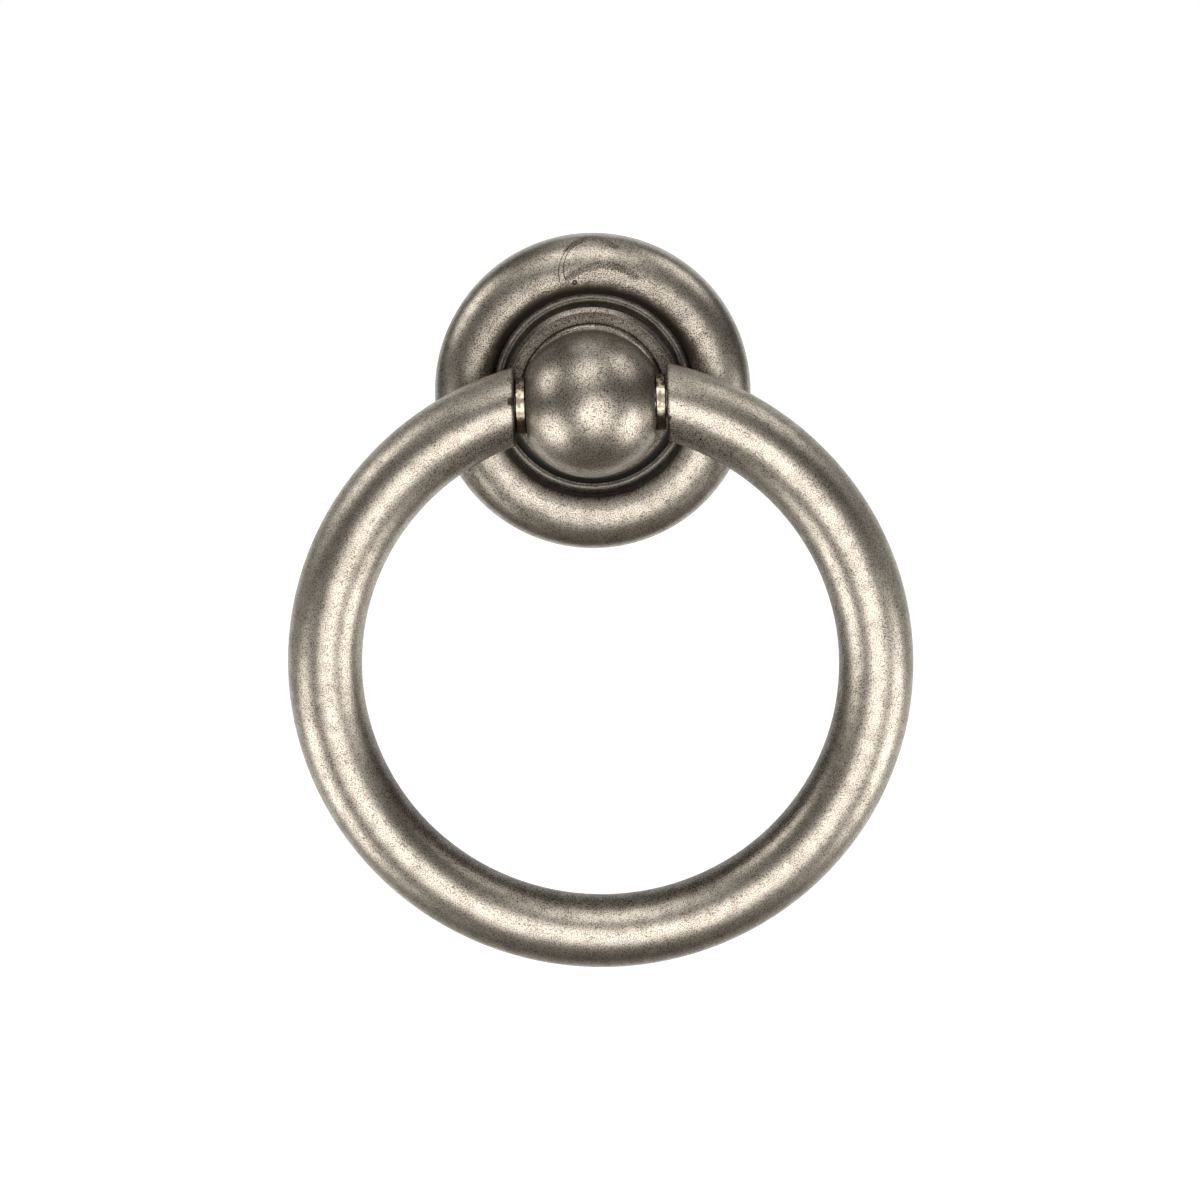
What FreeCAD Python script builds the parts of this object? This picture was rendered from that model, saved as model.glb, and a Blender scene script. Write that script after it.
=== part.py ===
import FreeCAD, Part
import math
import os

from FreeCAD import Vector

os.makedirs("parts", exist_ok=True)

# Ring pull handle: a heavy bar ring that hangs from a pin through a ball, in front of a round rose.
# Frame, in millimetres: the origin is the centre of the rose's back face, which lies on the door.
# +X points right, +Z up, and the front looks along -Y. The ring hangs down, as it does at rest.
# Heights are measured out from the door, so a height h lies at y = -h.

# Ring
RING_OUTER_RADIUS = 32.0
BAR_RADIUS = 3.79
RING_END_ROUND = 0.25
RING_BORE_DEPTH = 4.0

# Ball and the post that carries it
BALL_RADIUS = 7.4
BALL_FLAT_DEPTH = 0.98
BALL_NECK_RADIUS = 4.6
FOOT_LIP_HEIGHT = 0.35
FOOT_LIP_ROUND = 0.5
SHANK_RADIUS = 4.0

# Fixing thread M4, drawn at its tapping drill size
THREAD_DRILL_RADIUS = 1.65
THREAD_WEB = 0.9
DRILL_POINT_ANGLE = 118.0

# Pivot pin and the spacer washers
PIN_RADIUS = 1.5
PIN_END_CHAMFER = 0.2
WASHER_RADIUS = 2.8
WASHER_THICKNESS = 1.0
WASHER_EDGE_CHAMFER = 0.1

# Rose, from its centre outwards
SEAT_FLOOR_HEIGHT = 2.4
DISH_WIDTH = 1.17
DISH_DEPTH = 0.2
BOSS_HEIGHT = 4.05
BOSS_EDGE_ROUND = 0.05
SHOULDER_WIDTH = 0.57
SHOULDER_DROP = 0.4
SHOULDER_ROUND = 0.4
BOSS_SIDE_DRAFT = 0.25
BOSS_FOOT_WIDTH = 0.19
BOSS_FOOT_RISE = 0.14
BOSS_FOOT_ROUND = 0.06
GROOVE_HEIGHT = 1.62
GROOVE_ROUND = 0.05
RIDGE_INNER_SLOPE = 0.17
RIDGE_RISE = 0.37
RIDGE_INNER_ROUND = 0.12
RIDGE_TOP_WIDTH = 0.24
RIDGE_TOP_FALL = 0.05
RIDGE_OUTER_ROUND = 0.2
RIDGE_OUTER_SLOPE = 0.34
VALLEY_HEIGHT = 1.45
VALLEY_WIDTH = 0.09
VALLEY_ROUND = 0.1
RIM_INNER_WIDTH = 1.95
RIM_INNER_RISE = 1.1
RIM_OUTER_WIDTH = 3.87
RIM_OUTER_RISE = 3.33
RIM_WALL_HEIGHT = 1.75
RELIEF_DEPTH = 0.6
RELIEF_RIM_WIDTH = 1.6
RELIEF_HUB_WIDTH = 3.0

# Clearances
PIN_RUNNING_CLEARANCE = 0.05
WASHER_BORE_CLEARANCE = 0.06
SIDE_CLEARANCE = 0.1
PIN_END_CLEARANCE = 0.3
FOOT_CLEARANCE = 0.05
SHANK_CLEARANCE = 0.1

# Places that follow from the sizes above
FOOT_RADIUS = BALL_RADIUS
SEAT_RADIUS = FOOT_RADIUS + FOOT_CLEARANCE
FOOT_FRONT_HEIGHT = BOSS_HEIGHT - DISH_DEPTH + FOOT_LIP_HEIGHT
RIM_CREST_HEIGHT = RIM_WALL_HEIGHT + RIM_OUTER_RISE
RIM_INNER_FOOT_HEIGHT = RIM_CREST_HEIGHT - RIM_INNER_RISE
PIVOT_HEIGHT = FOOT_FRONT_HEIGHT + math.sqrt(BALL_RADIUS ** 2 - BALL_NECK_RADIUS ** 2)
HOLE_RADIUS = SHANK_RADIUS + SHANK_CLEARANCE
BALL_FLAT_DISTANCE = BALL_RADIUS - BALL_FLAT_DEPTH
WASHER_START = BALL_FLAT_DISTANCE + SIDE_CLEARANCE
RING_END_DISTANCE = WASHER_START + WASHER_THICKNESS + SIDE_CLEARANCE
RING_CENTRELINE_RADIUS = RING_OUTER_RADIUS - BAR_RADIUS
RING_DROP = math.sqrt(RING_CENTRELINE_RADIUS ** 2 - RING_END_DISTANCE ** 2)
PIN_HALF_LENGTH = RING_END_DISTANCE + RING_BORE_DEPTH - PIN_END_CLEARANCE

ORIGIN = Vector(0, 0, 0)
DOOR_NORMAL = Vector(0, 1, 0)
PIVOT = Vector(0, -PIVOT_HEIGHT, 0)
RIGHT = Vector(1, 0, 0)


def section_point(radius, height):
    """Point of a turned section: radius from the post's axis, height in front of the door."""
    return Vector(radius, -height, 0)


def rounded_path(corners):
    """Edges through (radius, height, round) corners, each but the ends rounded by its own round."""
    points = [section_point(radius, height) for radius, height, _ in corners]
    edges = []
    start = points[0]
    for before, corner, after, (_, _, round_radius) in zip(points, points[1:], points[2:], corners[1:]):
        if round_radius == 0:
            edges.append(Part.makeLine(start, corner))
            start = corner
            continue
        to_before = (before - corner).normalize()
        to_after = (after - corner).normalize()
        half_angle = to_before.getAngle(to_after) / 2
        reach = round_radius / math.tan(half_angle)
        inwards = (to_before + to_after).normalize()
        middle = corner + inwards * (round_radius / math.sin(half_angle) - round_radius)
        end = corner + to_after * reach
        first = corner + to_before * reach
        edges.append(Part.makeLine(start, first))
        edges.append(Part.Arc(first, middle, end).toShape())
        start = end
    edges.append(Part.makeLine(start, points[-1]))
    return edges


def quarter_oval(centre, *axis_ends):
    """Quarter of an oval about its centre, between the ends of its two half axes."""
    middle = section_point(*centre)
    ends = [section_point(*end) for end in axis_ends]
    ends.sort(key=middle.distanceToPoint, reverse=True)
    oval = Part.Ellipse(ends[0], ends[1], middle)
    return Part.ArcOfEllipse(oval, 0, math.pi / 2).toShape()


def turned(edges):
    """Solid of revolution about the post's axis from the edges of one closed section."""
    wire = Part.Wire(Part.__sortEdges__(edges))
    return Part.Face(wire).revolve(ORIGIN, DOOR_NORMAL, 360)


def bar_along_pivot(start, radius, length):
    """Cylinder on the pivot axis that starts at x = start and runs to the right."""
    return Part.makeCylinder(radius, length, PIVOT + RIGHT * start, RIGHT)


def rose_back(rim_radius):
    """Back of the rose: a rim and a hub that meet the door, with a shallow relief between them."""
    hub_radius = HOLE_RADIUS + RELIEF_HUB_WIDTH
    relief_radius = rim_radius - RELIEF_RIM_WIDTH
    return rounded_path([
        (HOLE_RADIUS, 0, 0),
        (hub_radius, 0, 0),
        (hub_radius, RELIEF_DEPTH, 0),
        (relief_radius, RELIEF_DEPTH, 0),
        (relief_radius, 0, 0),
        (rim_radius, 0, 0),
        (rim_radius, RIM_WALL_HEIGHT, 0),
    ])


def rim(rim_radius):
    """Full round rim on the rose's straight edge, steeper on its inner side than on its outer."""
    crest_radius = rim_radius - RIM_OUTER_WIDTH
    crest = (crest_radius, RIM_CREST_HEIGHT)
    inner_foot = (crest_radius - RIM_INNER_WIDTH, RIM_INNER_FOOT_HEIGHT)
    return [
        quarter_oval((crest_radius, RIM_WALL_HEIGHT), (rim_radius, RIM_WALL_HEIGHT), crest),
        quarter_oval((crest_radius, RIM_INNER_FOOT_HEIGHT), crest, inner_foot),
    ]


def rose_steps(edge_radius, groove_radius, ridge_radius, inner_radius):
    """Front of the rose inside its rim: valley, ridge, groove, boss, dish and the seat of the foot."""
    ridge_height = GROOVE_HEIGHT + RIDGE_RISE
    return rounded_path([
        (inner_radius, RIM_INNER_FOOT_HEIGHT, 0),
        (inner_radius, VALLEY_HEIGHT, 0),
        (inner_radius - VALLEY_WIDTH, VALLEY_HEIGHT, VALLEY_ROUND),
        (ridge_radius + RIDGE_TOP_WIDTH, ridge_height - RIDGE_TOP_FALL, RIDGE_OUTER_ROUND),
        (ridge_radius, ridge_height, RIDGE_INNER_ROUND),
        (groove_radius, GROOVE_HEIGHT, GROOVE_ROUND),
        (groove_radius - BOSS_FOOT_WIDTH, GROOVE_HEIGHT + BOSS_FOOT_RISE, BOSS_FOOT_ROUND),
        (edge_radius + SHOULDER_WIDTH, BOSS_HEIGHT - SHOULDER_DROP, SHOULDER_ROUND),
        (edge_radius, BOSS_HEIGHT, BOSS_EDGE_ROUND),
        (SEAT_RADIUS, BOSS_HEIGHT - DISH_DEPTH, 0),
        (SEAT_RADIUS, SEAT_FLOOR_HEIGHT, 0),
        (HOLE_RADIUS, SEAT_FLOOR_HEIGHT, 0),
        (HOLE_RADIUS, 0, 0),
    ])


def make_rose():
    """Round back plate, one casting with all its steps."""
    edge_radius = SEAT_RADIUS + DISH_WIDTH
    groove_radius = edge_radius + SHOULDER_WIDTH + BOSS_SIDE_DRAFT + BOSS_FOOT_WIDTH
    ridge_radius = groove_radius + RIDGE_INNER_SLOPE
    inner_radius = ridge_radius + RIDGE_TOP_WIDTH + RIDGE_OUTER_SLOPE + VALLEY_WIDTH
    rim_radius = inner_radius + RIM_INNER_WIDTH + RIM_OUTER_WIDTH
    steps = rose_steps(edge_radius, groove_radius, ridge_radius, inner_radius)
    return turned(rose_back(rim_radius) + rim(rim_radius) + steps)


def make_post_foot():
    """Foot that sits in the rose's seat, with the shank that passes through to the door."""
    return turned(rounded_path([
        (0, 0, 0),
        (SHANK_RADIUS, 0, 0),
        (SHANK_RADIUS, SEAT_FLOOR_HEIGHT, 0),
        (FOOT_RADIUS, SEAT_FLOOR_HEIGHT, 0),
        (FOOT_RADIUS, FOOT_FRONT_HEIGHT, FOOT_LIP_ROUND),
        (0, FOOT_FRONT_HEIGHT, 0),
        (0, 0, 0),
    ]))


def make_flatted_ball():
    """Ball with a flat on each side where the washers lie."""
    ball = Part.makeSphere(BALL_RADIUS, PIVOT)
    between_flats = Part.makeBox(
        2 * BALL_FLAT_DISTANCE, 4 * BALL_RADIUS, 4 * BALL_RADIUS,
        PIVOT - Vector(BALL_FLAT_DISTANCE, 2 * BALL_RADIUS, 2 * BALL_RADIUS))
    return ball.common(between_flats)


def make_fixing_hole():
    """Blind hole for the fixing thread, with its drill point short of the cross bore."""
    point_length = THREAD_DRILL_RADIUS / math.tan(math.radians(DRILL_POINT_ANGLE / 2))
    tip_height = PIVOT_HEIGHT - PIN_RADIUS - THREAD_WEB
    wall_length = tip_height - point_length
    drill = Part.makeCylinder(THREAD_DRILL_RADIUS, wall_length, ORIGIN, -DOOR_NORMAL)
    point = Part.makeCone(THREAD_DRILL_RADIUS, 0, point_length, section_point(0, wall_length), -DOOR_NORMAL)
    return drill.fuse(point)


def make_ball_post():
    """Ball, foot and shank in one casting, cross bored for the pin and tapped from the back."""
    body = make_post_foot().fuse(make_flatted_ball())
    cross_bore = bar_along_pivot(-BALL_RADIUS, PIN_RADIUS, 2 * BALL_RADIUS)
    return body.cut(cross_bore).cut(make_fixing_hole())


def make_pivot_pin():
    """Straight pin, pressed through the ball, with a free end in each end of the ring."""
    pin = bar_along_pivot(-PIN_HALF_LENGTH, PIN_RADIUS, 2 * PIN_HALF_LENGTH)
    end_edges = [edge for edge in pin.Edges if abs(edge.BoundBox.XLength) < PIN_END_CHAMFER]
    return pin.makeChamfer(PIN_END_CHAMFER, end_edges)


def make_washer(start):
    """Spacer washer on the pin, from x = start to the right."""
    blank = bar_along_pivot(start, WASHER_RADIUS, WASHER_THICKNESS)
    rims = [edge for edge in blank.Edges if abs(edge.BoundBox.XLength) < WASHER_EDGE_CHAMFER]
    rounded = blank.makeChamfer(WASHER_EDGE_CHAMFER, rims)
    hole = bar_along_pivot(start, PIN_RADIUS + WASHER_BORE_CLEARANCE, WASHER_THICKNESS)
    return rounded.cut(hole)


def make_ring():
    """Round bar bent to a ring, open at the top, with a blind bore in each end for the pin."""
    ring_centre = PIVOT - Vector(0, 0, RING_DROP)
    torus = Part.makeTorus(RING_CENTRELINE_RADIUS, BAR_RADIUS, ring_centre, DOOR_NORMAL)
    gap = Part.makeBox(
        2 * RING_END_DISTANCE, 2 * RING_OUTER_RADIUS, 2 * RING_OUTER_RADIUS,
        ring_centre - Vector(RING_END_DISTANCE, RING_OUTER_RADIUS, 0))
    ring = torus.cut(gap)
    end_edges = [edge for edge in ring.Edges if is_ring_end_edge(edge)]
    ring = ring.makeFillet(RING_END_ROUND, end_edges)
    bore_radius = PIN_RADIUS + PIN_RUNNING_CLEARANCE
    for start in (-RING_END_DISTANCE - RING_BORE_DEPTH, RING_END_DISTANCE):
        ring = ring.cut(bar_along_pivot(start, bore_radius, RING_BORE_DEPTH))
    return ring


def is_ring_end_edge(edge):
    """True for the edge round one flat end of the ring."""
    box = edge.BoundBox
    at_end = abs(abs(box.Center.x) - RING_END_DISTANCE) < RING_END_ROUND
    return at_end and box.XLength < RING_END_ROUND


def make_parts():
    """Every separate piece of the handle by its name."""
    return {
        "rose": make_rose(),
        "ball_post": make_ball_post(),
        "pivot_pin": make_pivot_pin(),
        "washer_left": make_washer(-WASHER_START - WASHER_THICKNESS),
        "washer_right": make_washer(WASHER_START),
        "ring": make_ring(),
    }


for name, shape in make_parts().items():
    solid = shape.removeSplitter()
    solid.exportStep(f"parts/{name}.step")
    box = solid.optimalBoundingBox(False)
    print(f"{name}: {len(solid.Solids)} solid, {solid.Volume:.1f} mm3, valid {solid.isValid()},",
          f"x {box.XMin:.2f} to {box.XMax:.2f}, y {box.YMin:.2f} to {box.YMax:.2f},",
          f"z {box.ZMin:.2f} to {box.ZMax:.2f}")
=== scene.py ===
"""Ring pull handle in aged pewter: the finishes, stage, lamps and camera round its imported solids."""

import logging
import math
from collections.abc import Sequence
from dataclasses import dataclass, field, replace
from enum import Enum

import bmesh
import bpy
from mathutils import Matrix, Vector

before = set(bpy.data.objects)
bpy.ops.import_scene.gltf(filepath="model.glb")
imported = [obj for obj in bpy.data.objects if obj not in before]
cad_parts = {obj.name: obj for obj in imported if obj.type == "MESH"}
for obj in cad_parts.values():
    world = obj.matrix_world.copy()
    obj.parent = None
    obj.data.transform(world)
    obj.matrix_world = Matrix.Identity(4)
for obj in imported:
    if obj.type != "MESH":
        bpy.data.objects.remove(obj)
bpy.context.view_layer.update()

MM = 0.001
# How far in mm a mesh's face may lie from a round surface: up to the first number it belongs to that surface,
# and from the second on it doesn't.
FACET_SLACK = (0.05, 0.08)
SMOOTH = {"interpolation_type": "SMOOTHSTEP"}
log = logging.getLogger("ring_pull_handle")

Socket = bpy.types.NodeSocket
Amount = Socket | float
Colour = tuple[float, float, float, float]
Place = tuple[float, float, float]
Range = tuple[float, float]
Stops = tuple[tuple[float, float], ...]
Inputs = Sequence | dict


class Side(Enum):
    """The two sides of the ball, along the pivot."""

    LEFT = "washer_left"
    RIGHT = "washer_right"


class Sees(Enum):
    """The kinds of ray that a stage piece shows itself to."""

    ALL = ("camera", "diffuse", "glossy", "transmission", "shadow")
    REFLECTIONS = ("glossy",)


def linear(sheet_colour: str) -> Colour:
    """Turns an sRGB hex colour into Blender's linear one.

    Args:
        sheet_colour: The colour as "#RRGGBB".

    Returns:
        Linear red, green and blue, and an alpha of 1.
    """
    parts = [int(sheet_colour[k:k + 2], 16) / 255 for k in (1, 3, 5)]
    red, green, blue = [p / 12.92 if p <= 0.04045 else ((p + 0.055) / 1.055) ** 2.4 for p in parts]
    return red, green, blue, 1.0


def empty_tree(owner: bpy.types.Material | bpy.types.World) -> bpy.types.NodeTree:
    """Gives a material or the world an empty node tree.

    Args:
        owner: The material or the world.

    Returns:
        Its tree.
    """
    owner.use_nodes = True
    owner.node_tree.nodes.clear()
    return owner.node_tree


def add_node(tree: bpy.types.NodeTree, kind: str, inputs: Inputs = (), **settings: object) -> bpy.types.Node:
    """Adds one node to a tree, with its settings and links.

    Args:
        tree: The tree that gets the node.
        kind: Blender's name for the node, without its "ShaderNode".
        inputs: A value or the feeding socket for each input, in order, or by the input's name or number.
        settings: The node's own properties.

    Returns:
        The new node.
    """
    node = tree.nodes.new("ShaderNode" + kind)
    for name, setting in settings.items():
        setattr(node, name, setting)
    for key, value in inputs.items() if isinstance(inputs, dict) else enumerate(inputs):
        if isinstance(value, Socket):
            tree.links.new(value, node.inputs[key])
        else:
            node.inputs[key].default_value = value
    return node


@dataclass(frozen=True)
class ArcMark:
    """A worn line, or a painted dark reflection, on a front face, drawn on the plane of the door: an arc, a
    full round or a dot, in mm.

    Args:
        centre: The arc's centre, right of and above the rose's own.
        radius: The arc's radius.
        half_width: Half of the line's width.
        strength: How dark the line is, from 0 to 1.
        middle: The direction of the arc's middle, in degrees from the right.
        half_sweep: How far the arc goes each side of its middle, in degrees; 180 is a full round.
        core: The share of the half width that has the full strength.
        fade: The share of the arc's height over which its ends fade.
    """

    centre: tuple[float, float]
    radius: float
    half_width: float
    strength: float
    middle: float = 0.0
    half_sweep: float = 180.0
    core: float = 0.4
    fade: float = 0.3


@dataclass
class Bench:
    """One material on the bench: its node tree, and the object's own coordinates in mm."""

    material: bpy.types.Material
    tree: bpy.types.NodeTree = field(init=False)
    place: Socket = field(init=False)
    across: Socket = field(init=False)
    depth: Socket = field(init=False)
    height: Socket = field(init=False)
    radius: Socket = field(init=False)

    def __post_init__(self) -> None:
        """Lays out the coordinates that every pattern reads."""
        self.tree = empty_tree(self.material)
        where = self.add("TexCoord", output="Object")
        self.place = self.add("VectorMath", {0: where, "Scale": 1 / MM}, operation="SCALE")
        self.across, self.depth, self.height = add_node(self.tree, "SeparateXYZ", (self.place,)).outputs
        from_axis = self.off_axis((0.0, 0.0, 0.0))
        self.radius = self.add("VectorMath", (from_axis,), output="Value", operation="LENGTH")

    def add(self, kind: str, inputs: Inputs = (), output: int | str = 0, **settings: object) -> Socket:
        """Adds one node to the material.

        Args:
            kind: Blender's name for the node, without its "ShaderNode".
            inputs: A value or a socket for each input, in order, or by the input's name or number.
            output: The name or number of the output that is wanted.
            settings: The node's own properties.

        Returns:
            The socket of that output.
        """
        return add_node(self.tree, kind, inputs, **settings).outputs[output]

    def off_axis(self, middle: Place) -> Socket:
        """Gives the way to a point from the axis that runs from front to back through the given middle."""
        outward = self.add("VectorMath", (self.place, middle), operation="SUBTRACT")
        return self.add("VectorMath", (outward, (1.0, 0.0, 1.0)), operation="MULTIPLY")

    def apart(self, value: Amount, middle: float) -> Socket:
        """Gives how far a value is from a middle, either way."""
        off = self.add("Math", (value, middle), operation="SUBTRACT")
        return self.add("Math", (off,), operation="ABSOLUTE")

    def total(self, first: Amount, *others: Amount) -> Socket:
        """Adds amounts up, to no more than 1.

        Args:
            first: The first amount.
            others: The amounts that are added to it.

        Returns:
            The socket with their total.
        """
        for other in others:
            first = self.add("Math", (first, other), operation="ADD")
        return self.add("Math", (first, 1.0), operation="MINIMUM")

    def profile(self, value: Amount, reach: float, stops: Stops) -> Socket:
        """Reads an amount off a profile along a length.

        Args:
            value: The length in mm.
            reach: The length at which the profile ends.
            stops: Pairs of a length and the amount there.

        Returns:
            The socket with the amount.
        """
        share = self.add("Math", (value, reach), operation="DIVIDE")
        ramp = add_node(self.tree, "ValToRGB", (share,))
        points = ramp.color_ramp.elements
        while len(points) < len(stops):
            points.new(1.0)
        for point, (length, amount) in zip(points, stops):
            point.position = length / reach
            point.color = (amount, amount, amount, 1.0)
        return ramp.outputs["Color"]

    def arc(self, mark: ArcMark) -> Socket:
        """Draws an arc mark, a worn line or a painted dark reflection.

        Args:
            mark: The arc's place, width and strength.

        Returns:
            The socket with the arc's darkness.
        """
        right, up = mark.centre
        from_centre = self.off_axis((right, 0.0, up))
        distance = self.add("VectorMath", (from_centre,), output="Value", operation="LENGTH")
        off_line = self.apart(distance, mark.radius)
        core = mark.half_width * mark.core
        line = self.add("MapRange", (off_line, core, mark.half_width, mark.strength, 0.0), **SMOOTH)
        if mark.half_sweep >= 180.0:
            return line
        turn = math.radians(mark.middle)
        middle_way = (math.cos(turn), 0.0, math.sin(turn))
        along = self.add("VectorMath", (from_centre, middle_way), output="Value", operation="DOT_PRODUCT")
        limit = mark.radius * math.cos(math.radians(mark.half_sweep))
        full = limit + (mark.radius - limit) * mark.fade
        within = self.add("MapRange", (along, limit, full), **SMOOTH)
        return self.add("Math", (line, within), operation="MULTIPLY")

    def round_normal(self, middle: Place, spine: float, radius: float) -> Socket:
        """Gives a ball's or a round bar's true normal on its round surface, so that no seam of faces shows.

        Args:
            middle: The middle of the ball, or of the ring that the bar makes.
            spine: The radius of the bar's middle line, or 0 for a ball.
            radius: The radius of the ball or the bar.

        Returns:
            The socket with the normal.
        """
        outward = self.add("VectorMath", (self.place, middle), operation="SUBTRACT")
        way = self.add("VectorMath", (self.off_axis(middle),), operation="NORMALIZE")
        to_line = self.add("VectorMath", {0: way, "Scale": -spine}, operation="SCALE")
        off_line = self.add("VectorMath", (outward, to_line), operation="ADD")
        distance = self.add("VectorMath", (off_line,), output="Value", operation="LENGTH")
        miss = self.apart(distance, radius)
        is_round = self.add("MapRange", (miss, *FACET_SLACK, 1.0, 0.0), **SMOOTH)
        spaces = {"vector_type": "NORMAL", "convert_from": "OBJECT", "convert_to": "WORLD"}
        true = self.add("VectorTransform", (off_line,), **spaces)
        meshed = self.add("NewGeometry", output="Normal")
        mixed = self.add("Mix", {0: is_round, 4: meshed, 5: true}, output=1, data_type="VECTOR")
        return self.add("VectorMath", (mixed,), operation="NORMALIZE")

    def lay_metal(self, colour: Amount | Colour, metallic: Amount, rough: Amount, normal: Socket) -> None:
        """Lays a metal surface on the material.

        Args:
            colour: Its colour.
            metallic: How metallic it is, from 0 to 1.
            rough: How rough it is, from 0 to 1.
            normal: Its normal, with its relief.
        """
        surface = {"Base Color": colour, "Metallic": metallic, "Roughness": rough, "Normal": normal}
        metal = self.add("BsdfPrincipled", surface)
        add_node(self.tree, "OutputMaterial", {"Surface": metal})


@dataclass(frozen=True)
class AgedPewter:
    """Zinc casting, tumbled and plated in aged pewter: warm grey metal, finely speckled, brown in hollows;
    its dark colours also lay painted shade and dark reflections on the rose and the ring.

    Lengths are in mm. The matt values say how much less metallic the patina and the dry places are, and the
    rough ones how much rougher. A range gives where a dark pattern is full and where it ends. Deep_range and
    pit_chance go the other way, and pit_range is in shares of a pit's cell.
    """

    plating: str = "#BDB4A6"
    # The brown is that of the oxide, and also of the painted shade and dark reflections laid on the rose and
    # the ring.
    patina_and_shade: str = "#483F36"
    deep_patina_and_shade: str = "#26231F"
    deep_range: Range = (0.80, 1.0)
    patina_matt: float = 0.30
    patina_rough: float = 0.10
    dry_matt: float = 0.70
    dry_rough: float = 0.15
    roughness: float = 0.35
    grain_size: float = 0.13
    grain_relief: float = 0.009
    grain_range: Range = (0.36, 0.57)
    speckle: float = 0.70
    mottle_size: float = 1.6
    mottle_range: Range = (0.35, 0.62)
    mottle: float = 0.18
    swell_size: float = 3.2
    swell_relief: float = 0.030
    pit_spacing: float = 1.3
    pit_range: Range = (0.05, 0.085)
    pit_chance: Range = (0.62, 0.66)
    pit_patina: float = 0.8

    def finish(
        self,
        bench: Bench,
        hollows: list[Socket],
        relief: Socket | None = None,
        dry: Amount = 0.0,
        painted_shade: Amount = 0.0,
        true_normal: Socket | None = None,
    ) -> None:
        """Puts the finish on a material.

        Args:
            bench: The material and its coordinates.
            hollows: Amounts of darkening, each from 0 to 1, for the piece's own hollows and marks: oxide, and
                on the rose also painted shade and painted dark reflections.
            relief: The piece's own relief in mm, such as a thread, if it has one.
            dry: How little the plating was rubbed there, from 0 to 1; such places are matt.
            painted_shade: Painted shade, from 0 to 1: how much darker the metal is laid there; it keeps its
                gloss.
            true_normal: The surface's normal, if it isn't left to the mesh.
        """
        # Plating over a tumbled casting: grains of about 0.15 mm catch the light one by one.
        grains = {"Vector": bench.place, "Scale": 1 / self.grain_size, "Detail": 2.0, "Roughness": 0.6}
        grain = bench.add("TexNoise", grains)
        dark_grain = bench.add("MapRange", (grain, *self.grain_range, self.speckle, 0.0), **SMOOTH)
        patches = {"Vector": bench.place, "Scale": 1 / self.mottle_size, "Detail": 3.0, "Roughness": 0.55}
        patch = bench.add("TexNoise", patches)
        dark_patch = bench.add("MapRange", (patch, *self.mottle_range, self.mottle, 0.0), **SMOOTH)
        dull = bench.total(self.pits(bench), *hollows)
        amount = bench.total(dull, dark_grain, dark_patch, painted_shade)
        colours = {0: amount, 6: linear(self.plating), 7: linear(self.patina_and_shade)}
        worn = bench.add("Mix", colours, output=2, data_type="RGBA")
        # The fullest darkening turns near black: oxide in the deepest hollows, and painted shade on the
        # rose's shoulder below the ball and in its valley.
        deep = bench.add("MapRange", (dull, *self.deep_range), **SMOOTH)
        colours = {0: deep, 6: worn, 7: linear(self.deep_patina_and_shade)}
        colour = bench.add("Mix", colours, output=2, data_type="RGBA")
        rough = bench.add("Math", (amount, self.patina_rough, self.roughness), operation="MULTIPLY_ADD")
        rough = bench.add("Math", (dry, self.dry_rough, rough), operation="MULTIPLY_ADD")
        metallic = bench.add("Math", (dull, -self.patina_matt, 1.0), operation="MULTIPLY_ADD")
        metallic = bench.add("Math", (dry, -self.dry_matt, metallic), operation="MULTIPLY_ADD")
        bench.lay_metal(colour, metallic, rough, self.feel(bench, grain, relief, true_normal))

    def pits(self, bench: Bench) -> Socket:
        """Gives the casting's pinholes, dark dots in a part of the cells of a loose pattern.

        Args:
            bench: The material and its coordinates.

        Returns:
            The socket with their darkness.
        """
        spread = {"Vector": bench.place, "Scale": 1 / self.pit_spacing, "Randomness": 1.0}
        cells = add_node(bench.tree, "TexVoronoi", spread).outputs
        chance = bench.add("SeparateColor", (cells["Color"],))
        chosen = bench.add("MapRange", (chance, *self.pit_chance), **SMOOTH)
        dots = bench.add("MapRange", (cells["Distance"], *self.pit_range, self.pit_patina, 0.0), **SMOOTH)
        return bench.add("Math", (dots, chosen), operation="MULTIPLY")

    def feel(self, bench: Bench, grain: Socket, relief: Socket | None, true_normal: Socket | None) -> Socket:
        """Gives the surface its soft swell, its grain and the piece's own relief.

        Args:
            bench: The material and its coordinates.
            grain: The plating's grain.
            relief: The piece's own relief in mm, if it has one.
            true_normal: The surface's normal, if it isn't left to the mesh.

        Returns:
            The socket with the normal.
        """
        swells = {"Vector": bench.place, "Scale": 1 / self.swell_size, "Detail": 1.0, "Roughness": 0.5}
        layers = [(self.swell_relief, bench.add("TexNoise", swells)), (self.grain_relief, grain)]
        if relief is not None:
            layers.append((1.0, relief))
        normal = true_normal
        for rise, height in layers:
            bump = {"Strength": 1.0, "Distance": rise * MM, "Height": height}
            if normal is not None:
                bump["Normal"] = normal
            normal = bench.add("Bump", bump)
        return normal


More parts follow.
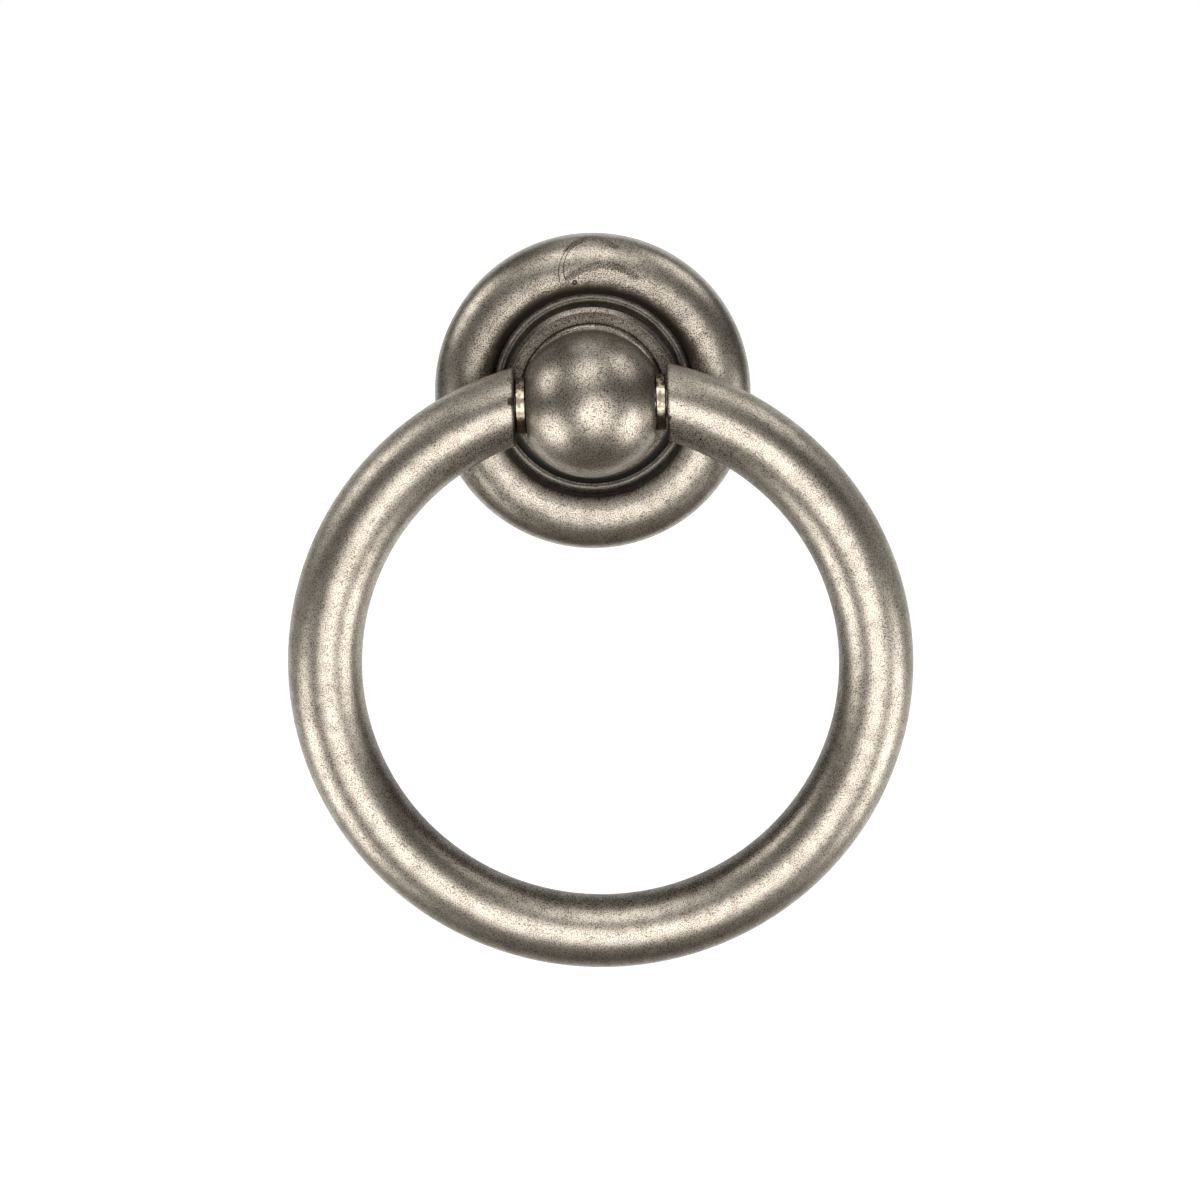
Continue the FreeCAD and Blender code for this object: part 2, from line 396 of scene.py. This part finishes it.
@dataclass(frozen=True)
class TurnedNickelSilver:
    """Turned washer metal, tumbled bright: warm pale metal, glossier than the plating, with dark spots and
    joints, and painted shade on its top and underside.

    Lengths are in mm. Each range gives where its darkening starts and where it is full, and for the spots it
    goes the other way. The top and underside ranges lay painted shade.
    """

    metal: str = "#D2C4AD"
    stain_and_shade: str = "#4E4133"
    roughness: float = 0.30
    stain_rough: float = 0.25
    lathe_pitch: float = 0.12
    lathe_relief: float = 0.05
    dent_size: float = 0.5
    dent_relief: float = 0.03
    spot_size: float = 0.45
    spot_range: Range = (0.40, 0.60)
    spot_stain: float = 0.60
    washer_middle: float = 7.02
    joint_range: Range = (0.36, 0.48)
    # The top and the underside are darkened as painted shade.
    top_range: Range = (1.6, 2.1)
    top_shade: float = 0.55
    under_range: Range = (-0.6, -1.2)
    under_shade: float = 0.90

    def finish(self, bench: Bench) -> None:
        """Puts the finish on a material.

        Args:
            bench: The material and its coordinates.
        """
        spots = {"Vector": bench.place, "Scale": 1 / self.spot_size, "Detail": 3.0, "Roughness": 0.6}
        cloud = bench.add("TexNoise", spots)
        spot = bench.add("MapRange", (cloud, *self.spot_range, self.spot_stain, 0.0), **SMOOTH)
        # Grime sits in the joints each side; the top, and most of all the underside, get painted shade.
        off_middle = bench.apart(bench.apart(bench.across, 0.0), self.washer_middle)
        joint = bench.add("MapRange", (off_middle, *self.joint_range), **SMOOTH)
        above = bench.add("MapRange", (bench.height, *self.top_range, 0.0, self.top_shade), **SMOOTH)
        under = bench.add("MapRange", (bench.height, *self.under_range, 0.0, self.under_shade), **SMOOTH)
        stains_and_shade = bench.total(spot, joint, above, under)
        colours = {0: stains_and_shade, 6: linear(self.metal), 7: linear(self.stain_and_shade)}
        colour = bench.add("Mix", colours, output=2, data_type="RGBA")
        groove = bench.add("Math", (bench.across, self.lathe_pitch / 2), operation="PINGPONG")
        groove = bench.add("Math", (groove, self.lathe_relief), operation="MULTIPLY")
        dents = {"Vector": bench.place, "Scale": 1 / self.dent_size, "Detail": 2.0, "Roughness": 0.5}
        dent = bench.add("TexNoise", dents)
        uneven = bench.add("Math", (dent, self.dent_relief, groove), operation="MULTIPLY_ADD")
        normal = bench.add("Bump", {"Strength": 1.0, "Distance": MM, "Height": uneven})
        rough = bench.add("Math", (stains_and_shade, self.stain_rough, self.roughness), operation="MULTIPLY_ADD")
        bench.lay_metal(colour, 1.0, rough, normal)


@dataclass(frozen=True)
class DrawnSteel:
    """Drawn steel pin: neutral grey metal with fine marks along its length; lengths in mm."""

    metal: str = "#A7A6A3"
    smoothest: float = 0.24
    roughest: float = 0.40
    mark_width: float = 0.12
    mark_stretch: float = 10.0
    mark_range: Range = (0.3, 0.7)
    mark_relief: float = 0.003

    def finish(self, bench: Bench) -> None:
        """Puts the finish on a material.

        Args:
            bench: The material and its coordinates.
        """
        along = bench.add("Mapping", {"Vector": bench.place, "Scale": (1 / self.mark_stretch, 1.0, 1.0)})
        marks = bench.add("TexNoise", {"Vector": along, "Scale": 1 / self.mark_width, "Detail": 2.0})
        rough = bench.add("MapRange", (marks, *self.mark_range, self.smoothest, self.roughest), **SMOOTH)
        relief = {"Strength": 1.0, "Distance": self.mark_relief * MM, "Height": marks}
        bench.lay_metal(linear(self.metal), 1.0, rough, bench.add("Bump", relief))


def dress(node: str, material: bpy.types.Material) -> None:
    """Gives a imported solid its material.

    Args:
        node: The solid's name.
        material: The finished material.
    """
    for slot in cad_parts[node].material_slots:
        slot.material = material
    log.info("%s is dressed in %s", node, material.name)


@dataclass
class Rose:
    """The stepped round back plate; lengths in mm, with depths below 0 in front of the door.

    Each profile gives an amount by the radius: of darkening, which is oxide in the hollows and painted shade,
    or of dryness on what rubbing never reached. The painted shade falls on the rim's inner side at the top
    and on the boss's shoulder at the bottom, so each has a profile for its top and one for its bottom.
    The two ranges give where its front face starts, and how its bottom passes into its top.
    """

    reach: float = 17.0
    front_range: Range = (-0.9, -1.3)
    top_range: Range = (-5.0, 7.0)
    # Oxide in the groove and valley, and painted shade on the rim's inner side.
    patina_and_shade_above: Stops = (
        (0.0, 0.80), (7.42, 0.80), (7.48, 0.50), (7.58, 0.25), (8.10, 0.30), (8.52, 0.60), (8.62, 0.15),
        (9.00, 0.12), (9.20, 0.08), (9.30, 0.80), (9.42, 0.70), (9.48, 0.0), (9.63, 0.0), (9.68, 0.30),
        (9.79, 0.20), (10.05, 0.15), (10.18, 0.30), (10.36, 0.95), (10.95, 0.95), (11.30, 0.85),
        (11.60, 0.60), (12.10, 0.32), (12.60, 0.30), (13.30, 0.15), (13.90, 0.0), (15.60, 0.0),
        (16.29, 0.0),
    )
    # Oxide in the groove and valley, and painted shade on the boss's shoulder below the ball.
    patina_and_shade_below: Stops = (
        (0.0, 0.80), (7.42, 0.90), (7.58, 0.50), (8.30, 0.55), (8.45, 0.95), (8.55, 1.0), (9.44, 1.0),
        (9.54, 0.35), (9.66, 0.35), (9.76, 0.0), (10.10, 0.0), (10.25, 0.10), (10.36, 0.80),
        (10.58, 0.70), (10.78, 0.15), (11.00, 0.0), (11.80, 0.05), (12.40, 0.10), (13.30, 0.10),
        (14.0, 0.0), (16.29, 0.0),
    )
    dry_above: Stops = (
        (0.0, 0.0), (7.45, 0.0), (7.50, 0.42), (8.50, 0.42), (8.60, 0.0), (9.44, 0.0), (9.50, 0.4),
        (9.72, 1.0), (10.24, 1.0), (10.36, 0.0), (17.0, 0.0),
    )
    dry_below: Stops = (
        (0.0, 0.0), (7.45, 0.0), (7.50, 0.42), (8.50, 0.42), (8.60, 0.0), (9.44, 0.0), (9.50, 0.4),
        (9.72, 1.0), (10.20, 1.0), (10.36, 0.15), (10.60, 0.20), (10.90, 0.32), (11.10, 0.42),
        (11.40, 0.42), (11.80, 0.18), (12.20, 0.0), (17.0, 0.0),
    )
    marks: tuple[ArcMark, ...] = (
        ArcMark((0.44, 12.73), 3.39, 0.09, 0.60, 163.5, 34.0),
        ArcMark((0.30, 13.11), 2.75, 0.09, 0.60, 171.5, 36.0),
        # The next two broad arcs are painted dark reflections on the rim's top; the other marks are wear.
        ArcMark((0.46, 12.37), 3.60, 0.34, 0.45, 90.0, 50.0),
        ArcMark((1.40, 8.50), 4.95, 0.50, 0.45, 88.0, 50.0),
        ArcMark((-1.35, 11.76), 0.16, 0.13, 0.9),
        ArcMark((2.01, 12.12), 2.94, 0.06, 0.6, 180.0, 4.5),
    )

    def dress(self, pewter: AgedPewter) -> None:
        """Dresses the rose: oxide in its groove and valley, painted shade on the rim's inner side at the top
        and on the boss's shoulder below the ball, painted dark reflections on the rim's top, and rubbed on
        its ridge.

        Args:
            pewter: The finish.
        """
        bench = Bench(bpy.data.materials.new("aged_pewter_rose"))
        front = bench.add("MapRange", (bench.depth, *self.front_range), **SMOOTH)
        patina_and_shade = [self.turned(bench, self.patina_and_shade_above, self.patina_and_shade_below)]
        patina_and_shade += [bench.arc(mark) for mark in self.marks]
        hollows = [bench.add("Math", (amount, front), operation="MULTIPLY") for amount in patina_and_shade]
        dry = self.turned(bench, self.dry_above, self.dry_below)
        pewter.finish(bench, hollows, dry=bench.add("Math", (dry, front), operation="MULTIPLY"))
        dress("rose", bench.material)

    def turned(self, bench: Bench, above: Stops, below: Stops) -> Socket:
        """Reads an amount off the rose's turned steps.

        Args:
            bench: The material and its coordinates.
            above: The profile at the rose's top.
            below: The profile at its bottom.

        Returns:
            The socket with the amount.
        """
        at_top = bench.profile(bench.radius, self.reach, above)
        at_bottom = bench.profile(bench.radius, self.reach, below)
        is_top = bench.add("MapRange", (bench.height, *self.top_range), **SMOOTH)
        return bench.add("Mix", {0: is_top, 2: at_bottom, 3: at_top})


@dataclass
class BallPost:
    """The ball on its foot, tapped from behind; lengths in mm, with depths below 0 in front of the door."""

    middle: Place = (0.0, -9.9966, 0.0)
    radius: float = 7.4
    foot_range: Range = (-4.45, -3.6)
    foot_patina: float = 0.7
    flat_range: Range = (6.25, 6.42)
    flat_patina: float = 0.5
    hole_range: Range = (1.8, 1.9)
    thread_end_range: Range = (-6.7, -6.5)
    thread_pitch: float = 0.7
    thread_relief: float = 0.35

    def dress(self, pewter: AgedPewter) -> None:
        """Dresses the ball, dark on its flats and where its foot meets the rose.

        Args:
            pewter: The finish.
        """
        bench = Bench(bpy.data.materials.new("aged_pewter_ball"))
        foot = bench.add("MapRange", (bench.depth, *self.foot_range, 0.0, self.foot_patina), **SMOOTH)
        sideways = bench.apart(bench.across, 0.0)
        flat = bench.add("MapRange", (sideways, *self.flat_range, 0.0, self.flat_patina), **SMOOTH)
        true_normal = bench.round_normal(self.middle, 0.0, self.radius)
        pewter.finish(bench, [foot, flat], self.thread(bench), true_normal=true_normal)
        dress("ball_post", bench.material)

    def thread(self, bench: Bench) -> Socket:
        """Cuts the screw thread's look in the fixing hole.

        Args:
            bench: The material and its coordinates.

        Returns:
            The socket with the thread's relief in mm.
        """
        in_hole = bench.add("MapRange", (bench.radius, *self.hole_range, self.thread_relief, 0.0), **SMOOTH)
        shallow = bench.add("MapRange", (bench.depth, *self.thread_end_range), **SMOOTH)
        turn = bench.add("Math", (bench.height, bench.across), operation="ARCTAN2")
        turn = bench.add("Math", (turn, math.tau), operation="DIVIDE")
        helix = bench.add("Math", (bench.depth, 1 / self.thread_pitch, turn), operation="MULTIPLY_ADD")
        ridges = bench.add("Math", (helix, 0.5), operation="PINGPONG")
        where = bench.add("Math", (in_hole, shallow), operation="MULTIPLY")
        return bench.add("Math", (ridges, where), operation="MULTIPLY")


@dataclass
class Ring:
    """The heavy open ring; lengths in mm, with depths below 0 in front of the door.

    Under_range, inner_range and outer_range are distances from the ring's middle, and bright_range is a
    distance from it towards its lower right.
    """

    middle: Place = (0.0, -9.9966, -27.16)
    middle_line: float = 28.21
    bar_radius: float = 3.79
    front_range: Range = (-10.5, -11.5)
    face_range: Range = (7.74, 7.96)
    face_height: Range = (-8.0, -6.0)
    face_patina: float = 0.75
    under_range: Range = (27.4, 25.8)
    under_height: Range = (-9.0, -3.0)
    under_patina: float = 0.45
    inner_range: Range = (25.4, 24.7)
    inner_height: Range = (-4.0, -8.0)
    inner_shade: float = 0.45
    lower_right: Place = (0.88, 0.0, -0.45)
    bright_range: Range = (-24.0, -14.0)
    outer_range: Range = (30.2, 31.2)
    outer_dry: float = 0.22
    pits: tuple[ArcMark, ...] = (
        ArcMark((-7.92, 1.12), 0.12, 0.24, 0.80),
        ArcMark((-8.05, 0.82), 0.05, 0.20, 0.90),
        ArcMark((-7.76, 0.68), 0.05, 0.15, 0.80),
        ArcMark((-8.08, 3.05), 0.13, 0.10, 0.70),
        ArcMark((7.75, -1.20), 0.10, 0.15, 0.90),
        ArcMark((7.95, -1.02), 0.05, 0.10, 0.60),
        ArcMark((10.82, -3.47), 0.03, 0.10, 0.90),
    )

    def dress(self, pewter: AgedPewter) -> None:
        """Dresses the ring, dark at its two flat ends, with painted shade on its inner side but for its upper
        left, and with the pits by its ends.

        Args:
            pewter: The finish.
        """
        bench = Bench(bpy.data.materials.new("aged_pewter_ring"))
        from_middle = bench.off_axis(self.middle)
        outwards = bench.add("VectorMath", (from_middle,), output="Value", operation="LENGTH")
        sideways = bench.apart(bench.across, 0.0)
        at_end = bench.add("MapRange", (bench.height, *self.face_height), **SMOOTH)
        face = bench.add("MapRange", (sideways, *self.face_range, self.face_patina, 0.0), **SMOOTH)
        near_end = bench.add("MapRange", (bench.height, *self.under_height), **SMOOTH)
        under = bench.add("MapRange", (outwards, *self.under_range, 0.0, self.under_patina), **SMOOTH)
        front = bench.add("MapRange", (bench.depth, *self.front_range), **SMOOTH)
        places = [(face, at_end), (under, near_end), *((bench.arc(pit), front) for pit in self.pits)]
        hollows = [bench.add("Math", place, operation="MULTIPLY") for place in places]
        # The outer side is a little matt all round.
        dry = bench.add("MapRange", (outwards, *self.outer_range, 0.0, self.outer_dry), **SMOOTH)
        true_normal = bench.round_normal(self.middle, self.middle_line, self.bar_radius)
        # The inner side gets painted shade, all but its lit upper left.
        painted_shade = self.inner_side_shade(bench, from_middle, outwards)
        pewter.finish(bench, hollows, dry=dry, painted_shade=painted_shade, true_normal=true_normal)
        dress("ring", bench.material)

    def inner_side_shade(self, bench: Bench, from_middle: Socket, outwards: Socket) -> Socket:
        """Gives the painted shade on the inner side, which darkens it all round but for its lit upper left.

        Args:
            bench: The material and its coordinates.
            from_middle: The way from the ring's middle.
            outwards: Its length.

        Returns:
            The socket with the painted shade.
        """
        ways = (from_middle, self.lower_right)
        low_right = bench.add("VectorMath", ways, output="Value", operation="DOT_PRODUCT")
        not_bright = bench.add("MapRange", (low_right, *self.bright_range), **SMOOTH)
        inner = bench.add("MapRange", (outwards, *self.inner_range, 0.0, self.inner_shade), **SMOOTH)
        below_end = bench.add("MapRange", (bench.height, *self.inner_height), **SMOOTH)
        inner = bench.add("Math", (inner, below_end), operation="MULTIPLY")
        return bench.add("Math", (inner, not_bright), operation="MULTIPLY")


@dataclass
class PivotHardware:
    """The pin through the ball and the washer each side of it."""

    washers: tuple[Side, ...] = (Side.LEFT, Side.RIGHT)

    def dress(self, washer: TurnedNickelSilver, pin: DrawnSteel) -> None:
        """Dresses the washers and the pin.

        Args:
            washer: The washers' finish.
            pin: The pin's finish.
        """
        bench = Bench(bpy.data.materials.new("turned_nickel_silver"))
        washer.finish(bench)
        for side in self.washers:
            dress(side.value, bench.material)
        bench = Bench(bpy.data.materials.new("drawn_steel"))
        pin.finish(bench)
        dress("pivot_pin", bench.material)


@dataclass(frozen=True)
class SoftLamp:
    """A round soft box that faces the handle; lengths in mm, angles in degrees.

    Args:
        name: The lamp's name.
        azimuth: Its direction round the handle, 0 in front and 90 at the right.
        elevation: Its direction above the horizon.
        distance: How far it stands.
        radius: The radius of its round front.
        level: The brightness of its front, where 1 is white.
    """

    name: str
    azimuth: float
    elevation: float
    distance: float
    radius: float
    level: float

    def hang(self, aim: Vector) -> None:
        """Hangs the lamp.

        Args:
            aim: The point that it faces, in metres.
        """
        light = bpy.data.lights.new(self.name, "AREA")
        light.shape = "DISK"
        light.size = 2 * self.radius * MM
        light.energy = self.level * math.pi * math.pi * (self.radius * MM) ** 2
        lamp = bpy.data.objects.new(self.name, light)
        bpy.context.scene.collection.objects.link(lamp)
        a, e = math.radians(self.azimuth), math.radians(self.elevation)
        away = Vector((math.sin(a) * math.cos(e), -math.cos(a) * math.cos(e), math.sin(e)))
        lamp.location = aim + away * self.distance * MM
        lamp.rotation_euler = (-away).to_track_quat("-Z", "Y").to_euler()
        lamp.visible_camera = False
        log.info("lamp %s hangs at %.0f mm", self.name, self.distance)


@dataclass
class Studio:
    """The pale floor, white surround, black boards round the front half and soft lamps; lengths in mm."""

    aim: Place = (0.0, -8.0, -20.0)
    floor_drop: float = 450.0
    floor_radius: float = 9000.0
    floor_sides: int = 96
    floor_paper: str = "#E8E8E6"
    floor_shadow: str = "#8A8A8A"
    floor_white: float = 0.88
    surround_light: float = 0.8
    surround_white: float = 1.0
    board_low: Place = (-700.0, -900.0, -430.0)
    board_high: Place = (700.0, 1100.0, 900.0)
    board_cut: Place = (0.0, 500.0, 0.0)
    board_slant: Place = (0.0, 1.0, -0.55)
    board_cloth: str = "#383634"
    base_cloth: str = "#585552"
    base_rise: float = 10.0
    lamps: tuple[SoftLamp, ...] = (
        SoftLamp("front_box", 7.5, -7.5, 424, 209, 3.50),
        SoftLamp("low_left_box", -66.3, -27.9, 464, 165, 4.05),
        SoftLamp("low_right_box", 70.2, -24.5, 560, 196, 4.50),
        SoftLamp("top_box", -6.4, 58.9, 850, 314, 2.80),
        SoftLamp("high_left_box", -83.8, 35.2, 312, 72, 4.10),
        SoftLamp("high_right_box", 89.4, 53.4, 250, 69, 2.30),
        SoftLamp("overhead_card", 0.0, 108.0, 780, 230, 0.90),
    )

    def build(self) -> None:
        """Builds the floor, the boards, the surround and the lamps."""
        self.lay_floor()
        self.stand_boards()
        self.paint_surround()
        for lamp in self.lamps:
            lamp.hang(Vector(self.aim) * MM)

    def place(
        self,
        name: str,
        shape: bmesh.types.BMesh,
        cloths: list[bpy.types.Material],
        sees: Sees,
    ) -> None:
        """Makes a stage piece from a finished shape.

        Args:
            name: The piece's name.
            shape: Its shape in metres, which is used up.
            cloths: Its materials.
            sees: The rays that it shows itself to.
        """
        mesh = bpy.data.meshes.new(name)
        shape.to_mesh(mesh)
        shape.free()
        for cloth in cloths:
            mesh.materials.append(cloth)
        piece = bpy.data.objects.new(name, mesh)
        bpy.context.scene.collection.objects.link(piece)
        for ray in Sees.ALL.value:
            setattr(piece, f"visible_{ray}", ray in sees.value)
        log.info("stage piece %s stands", name)

    def lay_floor(self) -> None:
        """Lays the pale floor well below the handle, lit like white paper and still darker in its shadow."""
        shape = bmesh.new()
        radius = self.floor_radius * MM
        bmesh.ops.create_circle(shape, cap_ends=True, segments=self.floor_sides, radius=radius)
        bmesh.ops.translate(shape, verts=shape.verts, vec=(0.0, 0.0, -self.floor_drop * MM))
        paper = bpy.data.materials.new("white_paper_floor")
        tree = empty_tree(paper)
        matt = add_node(tree, "BsdfDiffuse", (linear(self.floor_paper),)).outputs[0]
        shaded = add_node(tree, "BsdfDiffuse", (linear(self.floor_shadow),)).outputs[0]
        white = add_node(tree, "Emission", {"Strength": self.floor_white}).outputs[0]
        bright = add_node(tree, "AddShader", (white, shaded)).outputs[0]
        mixed = add_node(tree, "MixShader", (self.shown_rays(tree), matt, bright))
        add_node(tree, "OutputMaterial", {"Surface": mixed.outputs[0]})
        self.place("floor", shape, [paper], Sees.ALL)

    def stand_boards(self) -> None:
        """Stands black boards round the front half, which give the metal its dark bands between the lamps."""
        shape = bmesh.new()
        bmesh.ops.create_cube(shape, size=1.0)
        low, high = Vector(self.board_low) * MM, Vector(self.board_high) * MM
        bmesh.ops.scale(shape, verts=shape.verts, vec=high - low)
        bmesh.ops.translate(shape, verts=shape.verts, vec=(high + low) / 2)
        geometry = [*shape.verts, *shape.edges, *shape.faces]
        cut, slant = Vector(self.board_cut) * MM, Vector(self.board_slant)
        bmesh.ops.bisect_plane(shape, geom=geometry, plane_co=cut, plane_no=slant, clear_outer=True)
        bmesh.ops.reverse_faces(shape, faces=shape.faces)
        base_top = low.z + self.base_rise * MM
        for face in shape.faces:
            face.material_index = int(face.calc_center_median().z < base_top)
        cloths = [self.cloth("black_cloth", self.board_cloth), self.cloth("grey_cloth", self.base_cloth)]
        self.place("studio_boards", shape, cloths, Sees.REFLECTIONS)

    def cloth(self, name: str, colour: str) -> bpy.types.Material:
        """Makes the plain matt cloth of a board.

        Args:
            name: The cloth's name.
            colour: Its colour.

        Returns:
            The cloth.
        """
        cloth = bpy.data.materials.new(name)
        tree = empty_tree(cloth)
        matt = add_node(tree, "BsdfDiffuse", (linear(colour),))
        add_node(tree, "OutputMaterial", {"Surface": matt.outputs[0]})
        return cloth

    def paint_surround(self) -> None:
        """Makes the surround white to the camera and in reflections, and plain grey as a light."""
        world = bpy.data.worlds.new("studio")
        bpy.context.scene.world = world
        tree = empty_tree(world)
        white = linear("#FFFFFF")
        light = add_node(tree, "Background", {"Color": white, "Strength": self.surround_light}).outputs[0]
        shown = add_node(tree, "Background", {"Color": white, "Strength": self.surround_white}).outputs[0]
        mixed = add_node(tree, "MixShader", (self.shown_rays(tree), light, shown))
        add_node(tree, "OutputWorld", {"Surface": mixed.outputs[0]})

    def shown_rays(self, tree: bpy.types.NodeTree) -> Socket:
        """Gives 1 for camera, glossy and transmission rays, which see the white background.

        Args:
            tree: The tree of a material or the world.

        Returns:
            The socket with the 1 or 0.
        """
        rays = add_node(tree, "LightPath").outputs
        shown = rays["Is Camera Ray"]
        for kind in ("Is Glossy Ray", "Is Transmission Ray"):
            shown = add_node(tree, "Math", (shown, rays[kind]), operation="MAXIMUM").outputs[0]
        return shown


@dataclass(frozen=True)
class ProductCamera:
    """The camera in front of the handle, a little above it; lengths in mm, angles in radians."""

    azimuth: float = 0.0231
    elevation: float = 0.2058
    distance: float = 312.76
    roll: float = -0.0345
    target: Place = (0.12, -6.0, -20.99)
    lens: float = 90.88
    sensor: float = 36.0
    nearest: float = 10.0
    farthest: float = 50000.0

    def stand(self) -> None:
        """Stands the camera and makes it the scene's."""
        data = bpy.data.cameras.new("product_camera")
        data.lens = self.lens
        data.sensor_width = self.sensor
        data.clip_start, data.clip_end = self.nearest * MM, self.farthest * MM
        back = Vector((
            math.sin(self.azimuth) * math.cos(self.elevation),
            -math.cos(self.azimuth) * math.cos(self.elevation),
            math.sin(self.elevation),
        ))
        right = Vector((0.0, 0.0, 1.0)).cross(back).normalized()
        level = Matrix((right, back.cross(right), back)).transposed().to_4x4()
        camera = bpy.data.objects.new("product_camera", data)
        bpy.context.scene.collection.objects.link(camera)
        place = (Vector(self.target) + back * self.distance) * MM
        camera.matrix_world = Matrix.Translation(place) @ level @ Matrix.Rotation(self.roll, 4, "Z")
        bpy.context.scene.camera = camera


def main() -> None:
    """Stands the camera, dresses each piece and builds the studio."""
    logging.basicConfig(level=logging.INFO)
    ProductCamera().stand()
    pewter = AgedPewter()
    Rose().dress(pewter)
    # The ball is small: its grain shows more than the larger castings' does, and its swell less.
    BallPost().dress(replace(pewter, grain_relief=0.012, speckle=0.80, swell_relief=0.022))
    Ring().dress(pewter)
    PivotHardware().dress(TurnedNickelSilver(), DrawnSteel())
    Studio().build()
    bpy.context.scene.view_settings.view_transform = "Standard"


if __name__ == "__main__":
    main()
